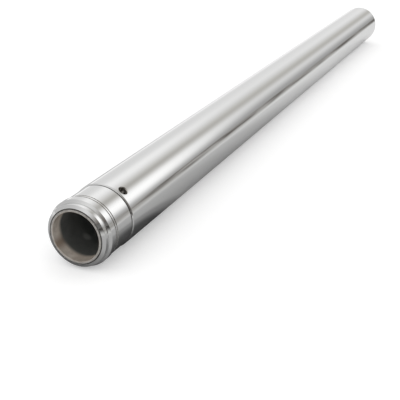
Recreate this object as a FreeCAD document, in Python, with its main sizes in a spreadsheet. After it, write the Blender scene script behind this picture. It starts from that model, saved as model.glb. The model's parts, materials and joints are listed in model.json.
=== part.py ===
import FreeCAD, Part
import os
import Sketcher

# Telescopic fork tube, turned from one length of thick-walled steel tube. Sizes are in
# millimetres. The body's own X axis is the tube's axis: X 0 is the face of the lower end, which
# slides in the lower leg, and the fork cap screws into the far end.

doc = FreeCAD.newDocument("ForkTube")

# Driving dimensions: each is one cell of the sheet, named by its alias
sheet = doc.addObject("Spreadsheet::Sheet", "Sizes")
dimensions = {
    # tube stock
    "tube_length": 616.0,
    "tube_diameter": 39.0,
    "wall": 5.2,
    # lower end, in order from its face: depths are radial, below the tube's outside
    "mouth_chamfer": 0.2,
    "face_depth": 4.0,
    "tip_taper_length": 1.4,
    "tip_land_depth": 1.5,
    "tip_land_length": 3.05,
    "step_taper_length": 0.9,
    "collar_depth": 0.1,
    "collar_length": 3.95,
    # seat of the lower bushing, with two fine turned lines next to the collar
    "seat_depth": 0.55,
    "seat_length": 18.95,
    "line_offset": 1.1,
    "line_width": 0.6,
    "line_depth": 0.3,
    "line_spacing": 1.65,
    "line_count": 2,
    "shoulder_taper_length": 0.75,
    # oil hole, drilled through one wall behind the seat
    "oil_hole_diameter": 5.2,
    "oil_hole_offset": 4.0,
    "oil_hole_rim": 0.5,
    "oil_hole_roll": 35.0,
    # upper end, in order from its rim
    "rim_chamfer": 0.4,
    "recess_wall": 1.45,
    "recess_length": 9.2,
    "thread_lead_in": 0.6,
    "thread_wall": 2.05,
    "thread_length": 17.6,
    "relief_depth": 0.7,
    "relief_length": 3.0,
    "relief_taper_length": 3.5,
}
for row, (name, value) in enumerate(dimensions.items(), start=1):
    sheet.set(f"A{row}", name)
    sheet.set(f"B{row}", str(value))
    sheet.setAlias(f"B{row}", name)
doc.recompute()


def size(name):
    """Expression that reads one cell of the sheet."""
    return f"{sheet.Name}.{name}"


def below(depth):
    """Expression for the radius that lies a radial depth under the tube's outside."""
    return f"{outside} - {size(depth)}"


# Radii about the axis
outside = f"{size('tube_diameter')} / 2"
bore = below("wall")
recess = below("recess_wall")
thread_crest = below("thread_wall")
relief = f"{thread_crest} + {size('relief_depth')}"
seat = below("seat_depth")
line_floor = f"{seat} - {size('line_depth')}"
hole_radius = f"{size('oil_hole_diameter')} / 2"

# Stations along the axis, each measured on from the one before it
step_start = f"{size('tip_taper_length')} + {size('tip_land_length')}"
collar_start = f"{step_start} + {size('step_taper_length')}"
seat_start = f"{collar_start} + {size('collar_length')}"
shoulder_start = f"{seat_start} + {size('seat_length')}"
shoulder_end = f"{shoulder_start} + {size('shoulder_taper_length')}"
oil_hole_station = f"{shoulder_end} + {size('oil_hole_offset')}"
line_start = f"{seat_start} + {size('line_offset')}"
line_end = f"{line_start} + {size('line_width')}"
rim = size("tube_length")
thread_start = f"{rim} - {size('recess_length')}"
thread_full = f"{thread_start} - {size('thread_lead_in')}"
thread_end = f"{thread_start} - {size('thread_length')}"
relief_end = f"{thread_end} - {size('relief_length')}"
bore_end = f"{relief_end} - {size('relief_taper_length')}"

tube = doc.addObject("PartDesign::Body", "fork_tube")
tube.Label = "fork_tube"


def origin_feature(role):
    """One of the body's own base planes or axes."""
    return next(item for item in tube.Origin.OriginFeatures if item.Role == role)


def half_section(name, corners):
    """Closed section in the plane of the axis, each corner held by its station and its radius."""
    sketch = tube.newObject("Sketcher::SketchObject", name)
    sketch.AttachmentSupport = (origin_feature("XZ_Plane"), "")
    sketch.MapMode = "FlatFace"
    places = [
        FreeCAD.Vector(sheet.evalExpression(station), sheet.evalExpression(radius), 0)
        for station, radius in corners.values()
    ]
    count = len(places)
    for index in range(count):
        sketch.addGeometry(Part.LineSegment(places[index], places[(index + 1) % count]))
    for index in range(count):
        sketch.addConstraint(Sketcher.Constraint("Coincident", index, 2, (index + 1) % count, 1))
    for index, (corner, (station, radius)) in enumerate(corners.items()):
        for kind, end, reach, expression in (
            ("DistanceX", "station", places[index].x, station),
            ("DistanceY", "radius", places[index].y, radius),
        ):
            held = sketch.addConstraint(Sketcher.Constraint(kind, -1, 1, index, 1, reach))
            sketch.renameConstraint(held, f"{corner}_{end}")
            sketch.setExpression(f"Constraints.{corner}_{end}", expression)
    return sketch


def turned(kind, name, sketch):
    """Full turn of a section about the tube's axis, which adds or cuts metal."""
    feature = tube.newObject(kind, name)
    feature.Profile = sketch
    feature.ReferenceAxis = (sketch, ["H_Axis"])
    feature.Angle = 360
    sketch.Visibility = False
    doc.recompute()
    return feature


def edge_at(shape, station, radius):
    """Name of the circular edge that lies at a station with a radius."""
    tolerance = 1e-4
    for index, edge in enumerate(shape.Edges, start=1):
        curve = edge.Curve
        if not isinstance(curve, Part.Circle):
            continue
        if abs(curve.Center.x - station) < tolerance and abs(curve.Radius - radius) < tolerance:
            return f"Edge{index}"
    raise ValueError(f"no edge of radius {radius} at {station}")


def chamfered(name, base, places, width):
    """Equal chamfer on the circular edges at these stations and radii."""
    feature = tube.newObject("PartDesign::Chamfer", name)
    edges = [
        edge_at(base.Shape, sheet.evalExpression(station), sheet.evalExpression(radius))
        for station, radius in places
    ]
    feature.Base = (base, edges)
    feature.setExpression("Size", width)
    doc.recompute()
    return feature


# Turned body: the outside from the lower end's face to the rim, then back along the bore
section = half_section("TurnedSection", {
    "face": ("0", below("face_depth")),
    "tip_land": (size("tip_taper_length"), below("tip_land_depth")),
    "step": (step_start, below("tip_land_depth")),
    "collar": (collar_start, below("collar_depth")),
    "collar_back": (seat_start, below("collar_depth")),
    "seat": (seat_start, seat),
    "seat_back": (shoulder_start, seat),
    "shoulder": (shoulder_end, outside),
    "rim": (rim, outside),
    "recess_mouth": (rim, recess),
    "recess_floor": (thread_start, recess),
    "thread_mouth": (thread_full, thread_crest),
    "thread_back": (thread_end, thread_crest),
    "relief": (thread_end, relief),
    "relief_back": (relief_end, relief),
    "bore_back": (bore_end, bore),
    "bore_mouth": ("0", bore),
})
body_of_revolution = turned("PartDesign::Revolution", "TurnedTube", section)

# Two fine lines turned in the bushing seat
line_section = half_section("LineSection", {
    "near_top": (line_start, seat),
    "near_bottom": (line_start, line_floor),
    "far_bottom": (line_end, line_floor),
    "far_top": (line_end, seat),
})
seat_line = turned("PartDesign::Groove", "SeatLine", line_section)
seat_lines = tube.newObject("PartDesign::LinearPattern", "SeatLines")
seat_lines.Originals = [seat_line]
seat_lines.Direction = (line_section, ["H_Axis"])
seat_lines.Mode = "Spacing"
seat_lines.setExpression("Offset", size("line_spacing"))
seat_lines.setExpression("Occurrences", size("line_count"))
tube.Tip = seat_lines
doc.recompute()

# Oil hole, drilled from the plane that touches the tube's outside, its rim eased
drill_sketch = tube.newObject("Sketcher::SketchObject", "OilHoleCentre")
drill_sketch.AttachmentSupport = (origin_feature("XY_Plane"), "")
drill_sketch.MapMode = "FlatFace"
drill_sketch.setExpression("AttachmentOffset.Base.z", outside)
drill_place = FreeCAD.Vector(sheet.evalExpression(oil_hole_station), 0, 0)
drill_radius = sheet.evalExpression(hole_radius)
drill_sketch.addGeometry(Part.Circle(drill_place, FreeCAD.Vector(0, 0, 1), drill_radius))
drill_sketch.addConstraint(Sketcher.Constraint("PointOnObject", 0, 3, -1))
for constraint, name, expression in (
    (Sketcher.Constraint("DistanceX", -1, 1, 0, 3, drill_place.x), "hole_station", oil_hole_station),
    (Sketcher.Constraint("Radius", 0, drill_radius), "hole_radius", hole_radius),
):
    held = drill_sketch.addConstraint(constraint)
    drill_sketch.renameConstraint(held, name)
    drill_sketch.setExpression(f"Constraints.{name}", expression)
drill_sketch.Visibility = False
doc.recompute()
volume_before_drilling = tube.Shape.Volume
oil_hole = tube.newObject("PartDesign::Hole", "OilHole")
oil_hole.Profile = drill_sketch
doc.recompute()
oil_hole.DepthType = "Dimension"
oil_hole.DrillPoint = "Flat"
oil_hole.setExpression("Diameter", size("oil_hole_diameter"))
oil_hole.setExpression("Depth", outside)
oil_hole.HoleCutType = "Countersink"
oil_hole.HoleCutCountersinkAngle = 90
oil_hole.setExpression("HoleCutDiameter", f"{size('oil_hole_diameter')} + 2 * {size('oil_hole_rim')}")
doc.recompute()
assert tube.Shape.Volume < volume_before_drilling, "the oil hole cuts nothing"

# Eased edges at both ends
mouth = chamfered("MouthChamfer", oil_hole, [("0", bore)], size("mouth_chamfer"))
chamfered(
    "RimChamfer",
    mouth,
    [(rim, outside), (rim, recess)],
    size("rim_chamfer"),
)

# The tube lies on its side, its middle over the origin and its oil hole rolled towards the front
axis_x = FreeCAD.Vector(1, 0, 0)
tube.Placement = FreeCAD.Placement(FreeCAD.Vector(), FreeCAD.Rotation(axis_x, dimensions["oil_hole_roll"]))
tube.setExpression("Placement.Base.x", f"-{size('tube_length')} / 2")
tube.setExpression("Placement.Base.z", outside)
tube.setExpression("Placement.Rotation.Angle", size("oil_hole_roll"))
doc.recompute()

# Nothing is written unless every feature is sound
for item in doc.Objects:
    if {"Invalid", "Error"} & set(item.State):
        raise RuntimeError(f"{item.Label} failed: {item.State}")
if tube.Shape.isNull() or not tube.Shape.isValid():
    raise RuntimeError("the tube's shape is not valid")

os.makedirs("parts", exist_ok=True)
tube.Shape.exportStep(f"parts/{tube.Label}.step")
box = tube.Shape.BoundBox
print(f"{tube.Label}: {len(tube.Shape.Solids)} solid, volume {tube.Shape.Volume:.1f} mm3")
print(f"box {box.XMin:.2f} {box.YMin:.2f} {box.ZMin:.2f} to {box.XMax:.2f} {box.YMax:.2f} {box.ZMax:.2f}")
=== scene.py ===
import bpy
import bmesh
import json
import math
from mathutils import Matrix, Vector


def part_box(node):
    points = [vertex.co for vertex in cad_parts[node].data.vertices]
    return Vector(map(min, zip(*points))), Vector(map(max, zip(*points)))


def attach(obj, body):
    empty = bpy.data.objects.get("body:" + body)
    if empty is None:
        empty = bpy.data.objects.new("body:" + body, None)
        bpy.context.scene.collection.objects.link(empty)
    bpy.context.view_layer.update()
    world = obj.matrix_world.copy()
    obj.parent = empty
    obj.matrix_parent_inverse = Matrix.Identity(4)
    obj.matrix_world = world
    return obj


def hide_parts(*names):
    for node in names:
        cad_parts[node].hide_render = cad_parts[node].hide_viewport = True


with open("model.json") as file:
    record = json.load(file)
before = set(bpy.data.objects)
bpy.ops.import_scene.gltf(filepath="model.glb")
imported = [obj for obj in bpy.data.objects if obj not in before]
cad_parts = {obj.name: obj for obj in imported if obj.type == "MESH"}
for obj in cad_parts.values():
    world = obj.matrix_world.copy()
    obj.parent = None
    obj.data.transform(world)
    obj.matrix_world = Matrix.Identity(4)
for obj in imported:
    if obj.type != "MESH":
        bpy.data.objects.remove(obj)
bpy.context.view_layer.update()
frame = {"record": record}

mm = 0.001
weld = 0.001 * mm  # corners nearer than this are one
lowEnd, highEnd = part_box("fork_tube")
mounts = {mount["name"]: mount for mount in frame["record"]["mounts"]}
outerRadius = mounts["outside"]["dims"]["r_mm"] * mm
boreRadius = mounts["main_bore"]["dims"]["r_mm"] * mm
recessRadius = mounts["cap_seal_recess"]["dims"]["r_mm"] * mm
crestRadius = mounts["cap_thread"]["dims"]["r_mm"] * mm
axisHeight = outerRadius  # the tube lies on the floor
faceX, rimX = lowEnd.x, highEnd.x
tubeLength = rimX - faceX
scene = bpy.context.scene


# Node and mesh helpers

def newMaterial(name):
    material = bpy.data.materials.new(name)
    material.use_nodes = True
    material.node_tree.nodes.clear()
    return material


def addNode(tree, kind, inputs=None, **settings):
    node = tree.nodes.new(kind)
    for key, value in settings.items():
        setattr(node, key, value)
    for key, value in (inputs or {}).items():
        socket = node.inputs[key]
        if isinstance(value, bpy.types.NodeSocket):
            tree.links.new(value, socket)
        else:
            socket.default_value = value
    return node


def maths(tree, operation, *values):
    return addNode(tree, "ShaderNodeMath", dict(enumerate(values)), operation=operation).outputs[0]


def mapRange(tree, value, start, end, low=0.0, high=1.0, smooth=False):
    return addNode(
        tree,
        "ShaderNodeMapRange",
        {"Value": value, "From Min": start, "From Max": end, "To Min": low, "To Max": high},
        interpolation_type="SMOOTHSTEP" if smooth else "LINEAR",
    ).outputs["Result"]


def noise(tree, place, perMetre, detail, roughness=0.5):
    return addNode(
        tree,
        "ShaderNodeTexNoise",
        {"Vector": place, "Scale": perMetre, "Detail": detail, "Roughness": roughness},
    ).outputs["Fac"]


def stretchedNoise(tree, place, perMetre, detail, roughness=0.5):
    stretched = addNode(tree, "ShaderNodeMapping", {"Vector": place, "Scale": perMetre})
    return noise(tree, stretched.outputs["Vector"], 1.0, detail, roughness)


def mixed(tree, share, first, second):
    return addNode(
        tree, "ShaderNodeMix", {"Factor": share, "A": first, "B": second}, data_type="RGBA"
    ).outputs["Result"]


def scaled(tree, colour, share):
    return addNode(
        tree, "ShaderNodeVectorMath", {0: colour, "Scale": share}, operation="SCALE"
    ).outputs[0]


def distance(tree, first, second):
    return addNode(
        tree, "ShaderNodeVectorMath", {0: first, 1: second}, operation="DISTANCE"
    ).outputs["Value"]


def parted(tree, vector):
    return addNode(tree, "ShaderNodeSeparateXYZ", {"Vector": vector}).outputs


def objectPlace(tree):
    return addNode(tree, "ShaderNodeTexCoord").outputs["Object"]


def bumped(tree, height, depth):
    return addNode(
        tree, "ShaderNodeBump", {"Height": height, "Distance": depth, "Strength": 1.0}
    ).outputs["Normal"]


def surface(tree, shader):
    addNode(tree, "ShaderNodeOutputMaterial", {"Surface": shader.outputs[0]})


def colourRamp(tree, factor, stops, interpolation="EASE"):
    ramp = addNode(tree, "ShaderNodeValToRGB", {"Fac": factor})
    ramp.color_ramp.interpolation = interpolation
    elements = ramp.color_ramp.elements
    while len(elements) > 1:
        elements.remove(elements[-1])
    elements[0].position = stops[0][0]
    elements[0].color = (*stops[0][1], 1)
    for position, colour in stops[1:]:
        elements.new(position).color = (*colour, 1)
    return ramp.outputs["Color"]


def grey(value):
    return (value, value, value)


white = (1, 1, 1, 1)


def meshFrom(bm, name):
    mesh = bpy.data.meshes.new(name)
    bm.to_mesh(mesh)
    bm.free()
    return mesh


# a closed section above the tube's axis, from places along it and radii
def halfSection(bm, startX, corners):
    points = [bm.verts.new((startX + along, 0, axisHeight + radius)) for along, radius in corners]
    for index, point in enumerate(points):
        bm.edges.new((point, points[(index + 1) % len(points)]))
    return points


# The turned tube

tube = {
    "segments": 256,
    "edgeRound": 0.12 * mm,
    "roundSegments": 3,
    "mouthChamfer": 0.2 * mm,
    "faceDepth": 4.0 * mm,  # depths are radial, below the tube's outside
    "faceLineWidth": 0.65 * mm,  # fine line turned at the face's outer edge
    "faceLineDepth": 0.95 * mm,
    "tipTaper": 1.4 * mm,
    "landDepth": 1.5 * mm,
    "landLength": 3.05 * mm,
    "stepTaper": 0.9 * mm,
    "collarDepth": 0.1 * mm,
    "collarLength": 3.95 * mm,
    "seatDepth": 0.55 * mm,
    "seatLength": 18.95 * mm,
    "lineOffset": 1.1 * mm,
    "lineWidth": 0.6 * mm,
    "lineDepth": 0.3 * mm,
    "lineSpacing": 1.65 * mm,
    "lineCount": 2,
    "undercutWidth": 0.7 * mm,  # fine undercut at the seat's back
    "undercutDepth": 0.45 * mm,
    "shoulderTaper": 0.75 * mm,
    "rimChamfer": 0.4 * mm,
    "recessLength": 9.2 * mm,
    "threadLeadIn": 0.6 * mm,
    "threadLength": 17.6 * mm,
    "reliefDepth": 0.7 * mm,
    "reliefLength": 3.0 * mm,
    "reliefTaper": 3.5 * mm,
    "sharpFrom": math.radians(32),  # a wider turn between faces is an edge
}
thread = {
    "pitch": 1.0 * mm,
    "crestShare": 0.25,  # widths as shares of the pitch
    "rootShare": 0.875,
    "height": 0.54 * mm,
    "sunk": 0.05 * mm,
    "stepsPerTurn": 96,
    "cutTolerance": 0.0001 * mm,
}
chromeIndex, boredIndex, drilledIndex, facedIndex, shadedGrooveIndex = 0, 1, 2, 3, 4


# stations of the seat's front and of its shoulder, from the lower face
def seatSpan():
    front = sum(tube[key] for key in ("tipTaper", "landLength", "stepTaper", "collarLength"))
    return front, front + tube["seatLength"]


# Materials

# fine rings about the tube's axis, as a tool or a stone leaves them
turningLook = {
    "perMetreAcross": 4.0,
    "roughness": 0.6,
}


def turningMarks(tree, place, perMetre, detail):
    across = turningLook["perMetreAcross"]
    return stretchedNoise(tree, place, (perMetre, across, across), detail, turningLook["roughness"])


chromeLook = {
    "colour": (0.80, 0.80, 0.795),
    "roughness": (0.055, 0.085),  # least and most over the surface
    "marksPerMetre": 2600.0,
    "marksDetail": 3.0,
    "marksDepth": 0.0006,  # this depth and the next two are in mm
    "ripplesDepth": 0.03,
    "ringsDepth": 0.003,
    "ripplesPerMetre": 45.0,  # slight unevenness, which bends the reflections
    "ripplesDetail": 2.0,
    "ringsApart": 0.8 * mm,  # rings left by the stone in the seat, before its shoulder
    "ringsLength": 3.2 * mm,
    "hazePerMetre": 14.0,
    "hazeDetail": 4.0,
    "hazeRange": (0.1, 0.45),  # of the haze, between the two roughnesses
}


def makeChrome():
    look = chromeLook
    material = newMaterial("hardChrome")
    tree = material.node_tree
    place = objectPlace(tree)
    marks = turningMarks(tree, place, look["marksPerMetre"], look["marksDetail"])
    haze = noise(tree, place, look["hazePerMetre"], look["hazeDetail"])
    roughness = mapRange(
        tree, maths(tree, "MULTIPLY", haze, marks), *look["hazeRange"], *look["roughness"]
    )
    along = parted(tree, place)["X"]
    shoulder = faceX + seatSpan()[1]
    ringsRise = mapRange(tree, along, shoulder - look["ringsLength"], shoulder, high=look["ringsDepth"])
    beforeShoulder = maths(tree, "LESS_THAN", along, shoulder)
    ringsHeight = maths(tree, "MULTIPLY", ringsRise, beforeShoulder)
    turns = maths(tree, "MULTIPLY", along, math.tau / look["ringsApart"])
    rings = maths(tree, "MULTIPLY", maths(tree, "SINE", turns), ringsHeight)
    fine = maths(tree, "MULTIPLY_ADD", marks, look["marksDepth"], rings)
    ripples = noise(tree, place, look["ripplesPerMetre"], look["ripplesDetail"])
    height = maths(tree, "MULTIPLY_ADD", ripples, look["ripplesDepth"], fine)
    surface(tree, addNode(tree, "ShaderNodeBsdfPrincipled", {
        "Base Color": (*look["colour"], 1),
        "Metallic": 1.0,
        "Roughness": roughness,
        "Normal": bumped(tree, height, mm),
    }))
    return material


boredLook = {
    "light": (0.80, 0.73, 0.65),  # lighter steel by the mouth and in the cap thread
    "lightWorn": (0.54, 0.47, 0.40),
    "dark": (0.155, 0.158, 0.152),  # darker steel in the rest of the bore
    "darkWorn": (0.11, 0.113, 0.109),
    "wornRange": (0.35, 0.62),  # of the film, from worn to clean
    "metallic": 0.15,
    "roughness": (0.34, 0.52),
    "roughRange": (0.3, 0.7),  # of the film, from rough to smooth
    "marksPerMetre": 1500.0,
    "marksDetail": 2.0,
    "marksDepth": 0.010 * mm,
    "filmPerMetre": 70.0,
    "filmDetail": 8.0,
    "filmRoughness": 0.66,
    "mouthZone": (5.2 * mm, 8.8 * mm),  # the light zone ends between these stations
    "zoneWander": 3.0 * mm,
    "palerDepth": 5.0 * mm,  # darker at the very edge of the mouth
    "paleShare": 0.68,
    "glint": (0.30, 0.305, 0.295),  # where light falls in through the oil hole
    "glintStation": 23.5 * mm,
    "glintAngle": math.radians(-56),
    "glintReach": (1.0 * mm, 3.6 * mm),  # full within the first, gone past the second
    "stain": (0.33, 0.26, 0.205),  # a brown run along the lower mouth
    "stainAngle": math.radians(-30),
    "stainReach": (math.radians(1), math.radians(21)),
}


def makeBoredSteel():
    look = boredLook
    material = newMaterial("boredSteel")
    tree = material.node_tree
    place = objectPlace(tree)
    parts = parted(tree, place)
    along = parts["X"]
    marks = turningMarks(tree, place, look["marksPerMetre"], look["marksDetail"])
    film = noise(tree, place, look["filmPerMetre"], look["filmDetail"], look["filmRoughness"])
    worn, clean = look["wornRange"]

    # light steel with the stain
    light = colourRamp(tree, film, [(worn, look["lightWorn"]), (clean, look["light"])])
    paler = mapRange(tree, along, faceX, faceX + look["palerDepth"], low=look["paleShare"])
    up = maths(tree, "SUBTRACT", parts["Z"], axisHeight)
    angle = maths(tree, "ARCTAN2", up, parts["Y"])
    aside = maths(tree, "ABSOLUTE", maths(tree, "SUBTRACT", angle, look["stainAngle"]))
    full, gone = look["stainReach"]
    stainShare = mapRange(tree, aside, gone, full, smooth=True)
    stained = mixed(tree, stainShare, scaled(tree, light, paler), (*look["stain"], 1))

    # dark steel with the glint
    dark = colourRamp(tree, film, [(worn, look["darkWorn"]), (clean, look["dark"])])
    glintAcross = Vector((0, math.cos(look["glintAngle"]), math.sin(look["glintAngle"]))) * boreRadius
    glintPlace = glintAcross + Vector((faceX + look["glintStation"], 0, axisHeight))
    full, gone = look["glintReach"]
    glintShare = mapRange(tree, distance(tree, place, glintPlace), gone, full, smooth=True)
    glinting = mixed(tree, glintShare, dark, (*look["glint"], 1))

    # dark between the mouth's zone and the thread
    start, end = (faceX + station + look["zoneWander"] / 2 for station in look["mouthZone"])
    wandering = maths(tree, "MULTIPLY_ADD", film, look["zoneWander"], along)
    pastMouth = mapRange(tree, wandering, start, end, smooth=True)
    threadBack = rimX - tube["recessLength"] - tube["threadLength"]
    beforeThread = mapRange(tree, along, threadBack, threadBack - tube["reliefLength"], smooth=True)
    colour = mixed(tree, maths(tree, "MULTIPLY", pastMouth, beforeThread), stained, glinting)

    smooth, rough = look["roughness"]
    surface(tree, addNode(tree, "ShaderNodeBsdfPrincipled", {
        "Base Color": colour,
        "Metallic": look["metallic"],
        "Roughness": mapRange(tree, film, *look["roughRange"], rough, smooth),
        "Normal": bumped(tree, marks, look["marksDepth"]),
    }))
    return material


# bare steel without rings: the flat ring of the lower end, the oil hole, and the fine grooves, whose bare
# steel is painted darker for the shade inside them
facedLook = {
    "light": (0.44, 0.425, 0.40),
    "dark": (0.32, 0.305, 0.285),
    "metallic": 0.3,
    "roughness": 0.30,
    "grainPerMetre": 700.0,
}
drilledLook = {
    "light": (0.66, 0.63, 0.59),
    "dark": (0.36, 0.34, 0.315),
    "metallic": 1.0,
    "roughness": 0.34,
    "grainPerMetre": 900.0,
}
# painted shade: the bare steel in the face line and the seat's undercut is darkened for the shade inside
# them
shadedGrooveLook = {
    "light": (0.20, 0.19, 0.18),
    "dark": (0.09, 0.085, 0.08),
    "metallic": 1.0,
    "roughness": 0.40,
    "grainPerMetre": 900.0,
}
grain = {
    "detail": 4.0,
    "darkTo": 0.35,
    "lightFrom": 0.65,
}


def makeGrainySteel(name, look):
    material = newMaterial(name)
    tree = material.node_tree
    grains = noise(tree, objectPlace(tree), look["grainPerMetre"], grain["detail"])
    stops = [(grain["darkTo"], look["dark"]), (grain["lightFrom"], look["light"])]
    surface(tree, addNode(tree, "ShaderNodeBsdfPrincipled", {
        "Base Color": colourRamp(tree, grains, stops),
        "Metallic": look["metallic"],
        "Roughness": look["roughness"],
    }))
    return material


# station and radius of each corner along the outside, from the bore's mouth to the rim
def outsideCorners():
    r = outerRadius
    land, collar, seat = (r - tube[key] for key in ("landDepth", "collarDepth", "seatDepth"))
    seatFront, seatBack = seatSpan()
    faceEdge = r - tube["faceDepth"]
    lineEdge = faceEdge + tube["faceLineWidth"]
    lineStation = tube["tipTaper"] * tube["faceLineWidth"] / (land - faceEdge)
    corners = [
        (0, boreRadius + tube["mouthChamfer"]),
        (0, faceEdge),
        (tube["faceLineDepth"], faceEdge),
        (tube["faceLineDepth"], lineEdge),
        (lineStation, lineEdge),
        (tube["tipTaper"], land),
        (tube["tipTaper"] + tube["landLength"], land),
        (seatFront - tube["collarLength"], collar),
        (seatFront, collar),
        (seatFront, seat),
    ]
    floor = seat - tube["lineDepth"]
    for count in range(tube["lineCount"]):
        start = seatFront + tube["lineOffset"] + count * tube["lineSpacing"]
        end = start + tube["lineWidth"]
        corners += [(start, seat), (start, floor), (end, floor), (end, seat)]
    undercut = seatBack - tube["undercutWidth"]
    undercutFloor = seat - tube["undercutDepth"]
    corners += [
        (undercut, seat),
        (undercut, undercutFloor),
        (seatBack, undercutFloor),
        (seatBack, seat),
        (seatBack + tube["shoulderTaper"], r),
        (tubeLength - tube["rimChamfer"], r),
        (tubeLength, r - tube["rimChamfer"]),
    ]
    return corners


# the same along the inside, from the rim back to the lower mouth
def insideCorners():
    start = tubeLength - tube["recessLength"]
    end = start - tube["threadLength"]
    lip = start - tube["threadLeadIn"]
    lipBack = lip - thread["pitch"] * thread["crestShare"]
    root = crestRadius + thread["height"]
    relief = crestRadius + tube["reliefDepth"]
    reliefBack = end - tube["reliefLength"]
    return [
        (tubeLength, recessRadius + tube["rimChamfer"]),
        (tubeLength - tube["rimChamfer"], recessRadius),
        (start, recessRadius),
        (lip, crestRadius),
        (lipBack, crestRadius),
        (lipBack, root),
        (end, root),
        (end, relief),
        (reliefBack, relief),
        (reliefBack - tube["reliefTaper"], boreRadius),
        (tube["mouthChamfer"], boreRadius),
    ]


# each face's finish follows from where it lies and which way it looks
def finishFaces(bm):
    faceEdge = outerRadius - tube["faceDepth"]
    lineEdge = faceEdge + tube["faceLineWidth"]
    lineBottom = tube["faceLineDepth"] * 1.1  # just past the line's floor
    seatTop = outerRadius - tube["seatDepth"] - tube["edgeRound"]
    seatFront, seatBack = seatSpan()
    for face in bm.faces:
        middle = face.calc_center_median()
        station = middle.x - faceX
        radius = math.hypot(middle.y, middle.z - axisHeight)
        outward = Vector((0, middle.y, middle.z - axisHeight)).normalized()
        inside = face.normal.dot(outward) < -0.1
        if radius < faceEdge:
            face.material_index = boredIndex if inside else facedIndex
        # the face line and the seat's undercut take the steel painted dark for their shade
        elif radius < lineEdge and station < lineBottom:
            face.material_index = shadedGrooveIndex
        elif radius < seatTop and seatBack - tube["undercutWidth"] < station < seatBack + tube["edgeRound"]:
            face.material_index = shadedGrooveIndex
        elif radius < seatTop and seatFront < station < seatBack:
            face.material_index = drilledIndex
        elif inside and station > tubeLength / 2:
            face.material_index = boredIndex
        else:
            face.material_index = chromeIndex


# the half section with its corners rounded, spun about the axis
def turnedMesh():
    bm = bmesh.new()
    bmesh.ops.bevel(
        bm,
        geom=halfSection(bm, faceX, outsideCorners() + insideCorners()),
        offset=tube["edgeRound"],
        segments=tube["roundSegments"],
        profile=0.5,
        affect="VERTICES",
        material=-1,
        clamp_overlap=True,
    )
    bmesh.ops.spin(
        bm,
        geom=bm.verts[:] + bm.edges[:],
        cent=(0, 0, axisHeight),
        axis=(1, 0, 0),
        angle=math.tau,
        steps=tube["segments"],
        use_merge=True,
    )
    bmesh.ops.remove_doubles(bm, verts=bm.verts, dist=weld)
    bmesh.ops.recalc_face_normals(bm, faces=bm.faces)
    finishFaces(bm)
    return meshFrom(bm, "turnedTube")


# The oil hole

oilHole = {
    "radius": 2.6 * mm,
    "offset": 4.0 * mm,  # from the shoulder
    "rim": 0.5 * mm,
    "rimRound": 0.12 * mm,
    "rimSegments": 3,
    "roll": math.radians(35.0),
    "segments": 64,
    "reach": 6.0 * mm,  # of the drill above the tube and below its outside
}


# a drill with a countersink, standing on the tube's outside where the hole is
def drillMesh():
    bm = bmesh.new()
    radius, rim, reach = oilHole["radius"], oilHole["rim"], oilHole["reach"]
    profile = [
        (0, -reach),
        (radius, -reach),
        (radius, -rim),
        (radius + rim + reach, reach),
        (0, reach),
    ]
    points = [bm.verts.new((across, 0, outerRadius + up)) for across, up in profile]
    for start, end in zip(points, points[1:]):
        bm.edges.new((start, end))
    bmesh.ops.bevel(
        bm,
        geom=[points[2]],
        offset=oilHole["rimRound"],
        segments=oilHole["rimSegments"],
        profile=0.5,
        affect="VERTICES",
        material=-1,
    )
    bmesh.ops.spin(
        bm,
        geom=bm.verts[:] + bm.edges[:],
        cent=(0, 0, 0),
        axis=(0, 0, 1),
        angle=math.tau,
        steps=oilHole["segments"],
        use_merge=True,
    )
    bmesh.ops.remove_doubles(bm, verts=bm.verts, dist=weld)
    bmesh.ops.recalc_face_normals(bm, faces=bm.faces)
    for face in bm.faces:
        face.material_index = drilledIndex
    station = faceX + seatSpan()[1] + tube["shoulderTaper"] + oilHole["offset"]
    place = Matrix.Translation((station, 0, axisHeight)) @ Matrix.Rotation(oilHole["roll"], 4, "X")
    bmesh.ops.transform(bm, matrix=place, verts=bm.verts)
    return meshFrom(bm, "oilHoleDrill")


# the tube's mesh with the oil hole cut through one wall
def drilled(mesh):
    body = bpy.data.objects.new("tubeBlank", mesh)
    drill = bpy.data.objects.new("drill", drillMesh())
    for item in (body, drill):
        scene.collection.objects.link(item)
        for material in tubeMaterials:
            item.data.materials.append(material)
    cut = body.modifiers.new("oilHole", "BOOLEAN")
    cut.operation = "DIFFERENCE"
    cut.solver = "EXACT"
    cut.object = drill
    depsgraph = bpy.context.evaluated_depsgraph_get()
    result = bpy.data.meshes.new_from_object(body.evaluated_get(depsgraph))
    for item in (body, drill):
        spent = item.data
        bpy.data.objects.remove(item)
        bpy.data.meshes.remove(spent)
    return result


# The cap thread: one section swept along a right-handed helix, cut square at both ends

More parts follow.
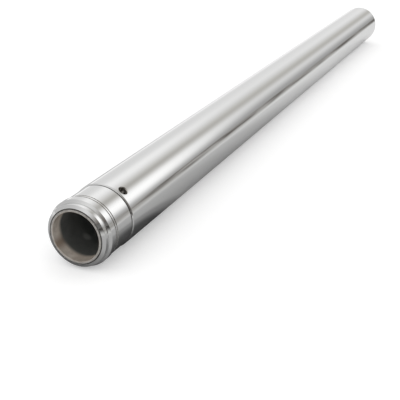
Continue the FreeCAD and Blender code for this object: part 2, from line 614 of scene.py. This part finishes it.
def threadMesh():
    bm = bmesh.new()
    pitch = thread["pitch"]
    root = crestRadius + thread["height"]
    lip = rimX - tube["recessLength"] - tube["threadLeadIn"] - pitch * thread["crestShare"]
    end = rimX - tube["recessLength"] - tube["threadLength"]
    turns = math.ceil((lip - end) / pitch) + 2  # one more at each end, for the cuts
    halfRoot, halfCrest = pitch * thread["rootShare"] / 2, pitch * thread["crestShare"] / 2
    halfSection(bm, end - pitch, [
        (-halfRoot, root + thread["sunk"]),
        (-halfRoot, root),
        (-halfCrest, crestRadius),
        (halfCrest, crestRadius),
        (halfRoot, root),
        (halfRoot, root + thread["sunk"]),
    ])
    bmesh.ops.spin(
        bm,
        geom=bm.verts[:] + bm.edges[:],
        cent=(0, 0, axisHeight),
        axis=(1, 0, 0),
        dvec=(pitch / thread["stepsPerTurn"], 0, 0),
        angle=math.tau * turns,
        steps=turns * thread["stepsPerTurn"],
        use_merge=False,
    )
    bmesh.ops.recalc_face_normals(bm, faces=bm.faces)
    for planeX, side in ((end, -1), (lip, 1)):
        bmesh.ops.bisect_plane(
            bm,
            geom=bm.verts[:] + bm.edges[:] + bm.faces[:],
            dist=thread["cutTolerance"],
            plane_co=(planeX, 0, axisHeight),
            plane_no=(side, 0, 0),
            clear_outer=True,
        )
    bmesh.ops.holes_fill(bm, edges=[edge for edge in bm.edges if edge.is_boundary], sides=0)
    bmesh.ops.recalc_face_normals(bm, faces=bm.faces)
    for face in bm.faces:
        face.material_index = boredIndex
    return meshFrom(bm, "threadRidge")


def joined(meshes, name):
    bm = bmesh.new()
    for part in meshes:
        bm.from_mesh(part)
    result = meshFrom(bm, name)
    for material in tubeMaterials:
        result.materials.append(material)
    return result


# exact normals on the turned faces, so that the chrome reflects as a true cylinder
def latheNormals(mesh, turnedFaces):
    normals = [corner.vector.copy() for corner in mesh.corner_normals]
    shoulder = faceX + seatSpan()[1] + tube["shoulderTaper"]
    for index in range(turnedFaces):
        face = mesh.polygons[index]
        if face.material_index == drilledIndex and face.center.x > shoulder:
            continue  # the oil hole's wall
        outward = Vector((0, face.center.y, face.center.z - axisHeight)).normalized()
        along = face.normal.x
        across = math.sqrt(max(0.0, 1 - along * along))
        if face.normal.dot(outward) < 0:
            across = -across
        for loop in face.loop_indices:
            point = mesh.vertices[mesh.loops[loop].vertex_index].co
            radial = Vector((0, point.y, point.z - axisHeight)).normalized()
            normals[loop] = radial * across + Vector((along, 0, 0))
    mesh.normals_split_custom_set(normals)


def makeTube():
    blank = drilled(turnedMesh())
    turnedFaces = len(blank.polygons)
    mesh = joined([blank, threadMesh()], "forkTube")
    mesh.shade_smooth()
    mesh.set_sharp_from_angle(angle=tube["sharpFrom"])
    latheNormals(mesh, turnedFaces)
    piece = bpy.data.objects.new("forkTube", mesh)
    scene.collection.objects.link(piece)
    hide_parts("fork_tube")
    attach(piece, "root")
    return piece


tubeMaterials = [
    makeChrome(),
    makeBoredSteel(),
    makeGrainySteel("drilledSteel", drilledLook),
    makeGrainySteel("facedSteel", facedLook),
    makeGrainySteel("groovePaintedShadeSteel", shadedGrooveLook),
]
print("materials made")
forkTube = makeTube()
print("tube made:", len(forkTube.data.polygons), "faces")


# Floor, dark card, sky and camera

floorLook = {
    "halfSize": 6.0,
    "colour": grey(0.80),
    "lift": 0.32,  # glow for the camera and far reflections only, so that the floor reads white
    "farSide": (0.12, 0.50),  # where the floor's reflections take on that glow, across and along
    "farAlong": (-0.30, 0.10),
    "shadePlace": (-0.262, 0.012, 0.0),  # reflections of the floor grow darker towards the lower end
    "shadeReach": 0.5,
    "shadeStops": [  # metres away and colour
        (0.036, grey(0.11)),
        (0.054, grey(0.32)),
        (0.072, grey(0.47)),
        (0.12, grey(0.48)),
        (0.20, grey(0.55)),
        (0.32, grey(0.70)),
        (0.45, grey(0.80)),
    ],
}


def makeFloor():
    look = floorLook
    bm = bmesh.new()
    bmesh.ops.create_grid(bm, x_segments=1, y_segments=1, size=look["halfSize"])
    mesh = meshFrom(bm, "floor")
    material = newMaterial("paleFloor")
    tree = material.node_tree
    rays = addNode(tree, "ShaderNodeLightPath").outputs
    place = objectPlace(tree)
    parts = parted(tree, place)
    farAlong = mapRange(tree, parts["X"], *look["farAlong"])
    farSide = mapRange(tree, parts["Y"], *look["farSide"], high=farAlong)
    farSeen = maths(tree, "MULTIPLY", rays["Is Glossy Ray"], farSide)
    seen = maths(tree, "MAXIMUM", rays["Is Camera Ray"], farSeen)
    strength = maths(tree, "MULTIPLY", seen, look["lift"])
    away = distance(tree, place, look["shadePlace"])
    reach = maths(tree, "DIVIDE", away, look["shadeReach"])
    stops = [(metres / look["shadeReach"], tone) for metres, tone in look["shadeStops"]]
    shade = colourRamp(tree, reach, stops)
    colour = mixed(tree, rays["Is Glossy Ray"], (*look["colour"], 1), shade)
    diffuse = addNode(tree, "ShaderNodeBsdfDiffuse", {"Color": colour})
    glow = addNode(tree, "ShaderNodeEmission", {"Color": white, "Strength": strength})
    surface(tree, addNode(tree, "ShaderNodeAddShader", {0: diffuse.outputs[0], 1: glow.outputs[0]}))
    mesh.materials.append(material)
    floor = bpy.data.objects.new("floor", mesh)
    scene.collection.objects.link(floor)


flagLook = {
    "distance": 0.13,  # from the tube's axis, towards the front
    "height": 0.045,
    "bendX": -0.24,  # where it bends round the lower end
    "bendRadius": 0.22,
    "farX": 1.3,
    "arc": math.radians(100),
    "arcSteps": 20,
    "colour": (0.15, 0.14, 0.13),
    "patches": (0.42, 0.41, 0.395),  # uneven along the card
    "patchScale": (11.0, 11.0, 60.0),
    "patchDetail": 2.0,
    "patchRange": (0.38, 0.64),
    "foot": (0.66, 0.66, 0.65),  # paler towards the floor, so that its reflection has no hard edge
    "footHeight": 0.024,
    "darkFrom": -0.26,  # darker in front of the lower end
    "darkTo": -0.34,
    "darkShare": 0.4,
}


# a low dark card beside the tube and round its lower end, seen only in its reflections
def makeFlag():
    look = flagLook
    bm = bmesh.new()
    foot = bm.verts.new((look["farX"], -look["distance"], 0))
    top = bm.verts.new((look["farX"], -look["distance"], look["height"]))
    edge = bm.edges.new((foot, top))
    run = bmesh.ops.extrude_edge_only(bm, edges=[edge])["geom"]
    ends = [item for item in run if isinstance(item, bmesh.types.BMVert)]
    bmesh.ops.translate(bm, vec=(look["bendX"] - look["farX"], 0, 0), verts=ends)
    edges = [item for item in run if isinstance(item, bmesh.types.BMEdge)]
    bmesh.ops.spin(
        bm,
        geom=ends + [item for item in edges if set(item.verts) == set(ends)],
        cent=(look["bendX"], look["bendRadius"] - look["distance"], 0),
        axis=(0, 0, -1),
        angle=look["arc"],
        steps=look["arcSteps"],
        use_merge=False,
    )
    mesh = meshFrom(bm, "darkFlag")
    material = newMaterial("darkCard")
    tree = material.node_tree
    place = objectPlace(tree)
    parts = parted(tree, place)
    patches = stretchedNoise(tree, place, look["patchScale"], look["patchDetail"])
    dark, pale = look["patchRange"]
    cloth = colourRamp(tree, patches, [(dark, look["colour"]), (pale, look["patches"])])
    share = mapRange(tree, parts["X"], look["darkFrom"], look["darkTo"], 1.0, look["darkShare"])
    rise = mapRange(tree, parts["Z"], 0.0, look["footHeight"], smooth=True)
    colour = mixed(tree, rise, (*look["foot"], 1), scaled(tree, cloth, share))
    surface(tree, addNode(tree, "ShaderNodeEmission", {"Color": colour, "Strength": 1.0}))
    mesh.materials.append(material)
    flag = bpy.data.objects.new("darkFlag", mesh)
    flag.visible_camera = False
    flag.visible_diffuse = False
    flag.visible_shadow = False
    scene.collection.objects.link(flag)


# Three sets of bands round the tube's axis: 0 is level on the far side, 90 straight up and 180
# level in front
skyLook = {
    "near": [
        (0, grey(0.85)),
        (9, grey(0.79)),
        (24, grey(0.77)),
        (44, grey(0.82)),
        (58, grey(1.02)),
        (70, grey(1.06)),
        (83, grey(0.90)),
        (96, (0.67, 0.66, 0.64)),
        (107, (0.44, 0.43, 0.405)),
        (117, (0.66, 0.65, 0.63)),
        (127, grey(1.10)),
        (138, grey(1.27)),
        (149, grey(1.20)),
        (158, grey(0.82)),
        (166, grey(0.46)),
        (174, (0.40, 0.39, 0.375)),
        (190, (0.34, 0.33, 0.315)),
        (215, grey(0.60)),
        (345, grey(0.95)),
    ],
    "far": [  # seen in reflections far up the tube
        (0, grey(0.93)),
        (9, grey(0.82)),
        (24, grey(0.77)),
        (58, grey(0.90)),
        (70, grey(0.88)),
        (83, grey(0.78)),
        (96, (0.64, 0.63, 0.61)),
        (107, (0.52, 0.51, 0.48)),
        (117, (0.58, 0.57, 0.55)),
        (129, grey(0.82)),
        (143, grey(0.68)),
        (156, grey(0.44)),
        (166, grey(0.40)),
        (174, (0.36, 0.35, 0.335)),
        (190, (0.34, 0.33, 0.315)),
        (215, grey(0.60)),
        (345, grey(0.95)),
    ],
    "back": [  # seen in the end's cones, which look back past the camera
        (0, grey(0.58)),
        (24, grey(0.57)),
        (46, grey(0.66)),
        (70, grey(0.88)),
        (90, grey(0.76)),
        (114, (0.50, 0.49, 0.475)),
        (138, (0.28, 0.265, 0.25)),
        (160, (0.13, 0.115, 0.105)),
        (182, (0.11, 0.10, 0.09)),
        (215, grey(0.35)),
        (345, grey(0.58)),
    ],
    "brightest": 1.6,  # the bands are stored as shares of this
    "farRange": (0.81, 0.91),  # of the view along the tube, from near bands to far ones
    "backRange": (0.50, 0.05),  # and from these to the ones behind the camera
}


def skyBands(tree, share, name):
    stops = [
        (degrees / 360, tuple(channel / skyLook["brightest"] for channel in colour))
        for degrees, colour in skyLook[name]
    ]
    return colourRamp(tree, share, stops, "B_SPLINE")


def makeSky():
    look = skyLook
    sky = bpy.data.worlds.new("studioSky")
    sky.use_nodes = True
    scene.world = sky
    tree = sky.node_tree
    tree.nodes.clear()
    direction = addNode(tree, "ShaderNodeTexCoord").outputs["Generated"]
    parts = parted(tree, direction)
    angle = maths(tree, "ARCTAN2", parts["Z"], parts["Y"])
    share = maths(tree, "WRAP", maths(tree, "DIVIDE", angle, math.tau), 1.0, 0.0)
    near, far, back = (skyBands(tree, share, name) for name in ("near", "far", "back"))
    ahead = mixed(tree, mapRange(tree, parts["X"], *look["farRange"], smooth=True), near, far)
    bands = mixed(tree, mapRange(tree, parts["X"], *look["backRange"], smooth=True), ahead, back)
    room = scaled(tree, bands, look["brightest"])
    mirrored = addNode(tree, "ShaderNodeLightPath").outputs["Is Glossy Ray"]
    shown = mixed(tree, mirrored, white, room)  # every ray but a reflection sees plain white
    background = addNode(tree, "ShaderNodeBackground", {"Color": shown, "Strength": 1.0})
    addNode(tree, "ShaderNodeOutputWorld", {"Surface": background.outputs[0]})


cameraLook = {
    "place": (-0.6268, -0.2153, 0.2063),
    "yaw": math.radians(24.18),  # from along the tube, turned to the far side
    "pitch": math.radians(23.59),  # downwards
    "roll": math.radians(-0.09),
    "lens": 72.0,
    "sensor": 36.0,
}


def makeCamera():
    look = cameraLook
    data = bpy.data.cameras.new("camera")
    data.lens = look["lens"]
    data.sensor_width = look["sensor"]
    camera = bpy.data.objects.new("camera", data)
    ahead = Vector((
        math.cos(look["yaw"]) * math.cos(look["pitch"]),
        math.sin(look["yaw"]) * math.cos(look["pitch"]),
        -math.sin(look["pitch"]),
    ))
    turned = ahead.to_track_quat("-Z", "Y").to_matrix().to_4x4()
    rolled = turned @ Matrix.Rotation(look["roll"], 4, "Z")
    camera.matrix_world = Matrix.Translation(look["place"]) @ rolled
    scene.collection.objects.link(camera)
    scene.camera = camera


makeFloor()
makeFlag()
makeSky()
makeCamera()
scene.view_settings.view_transform = "Standard"
print("stage, sky and camera made")
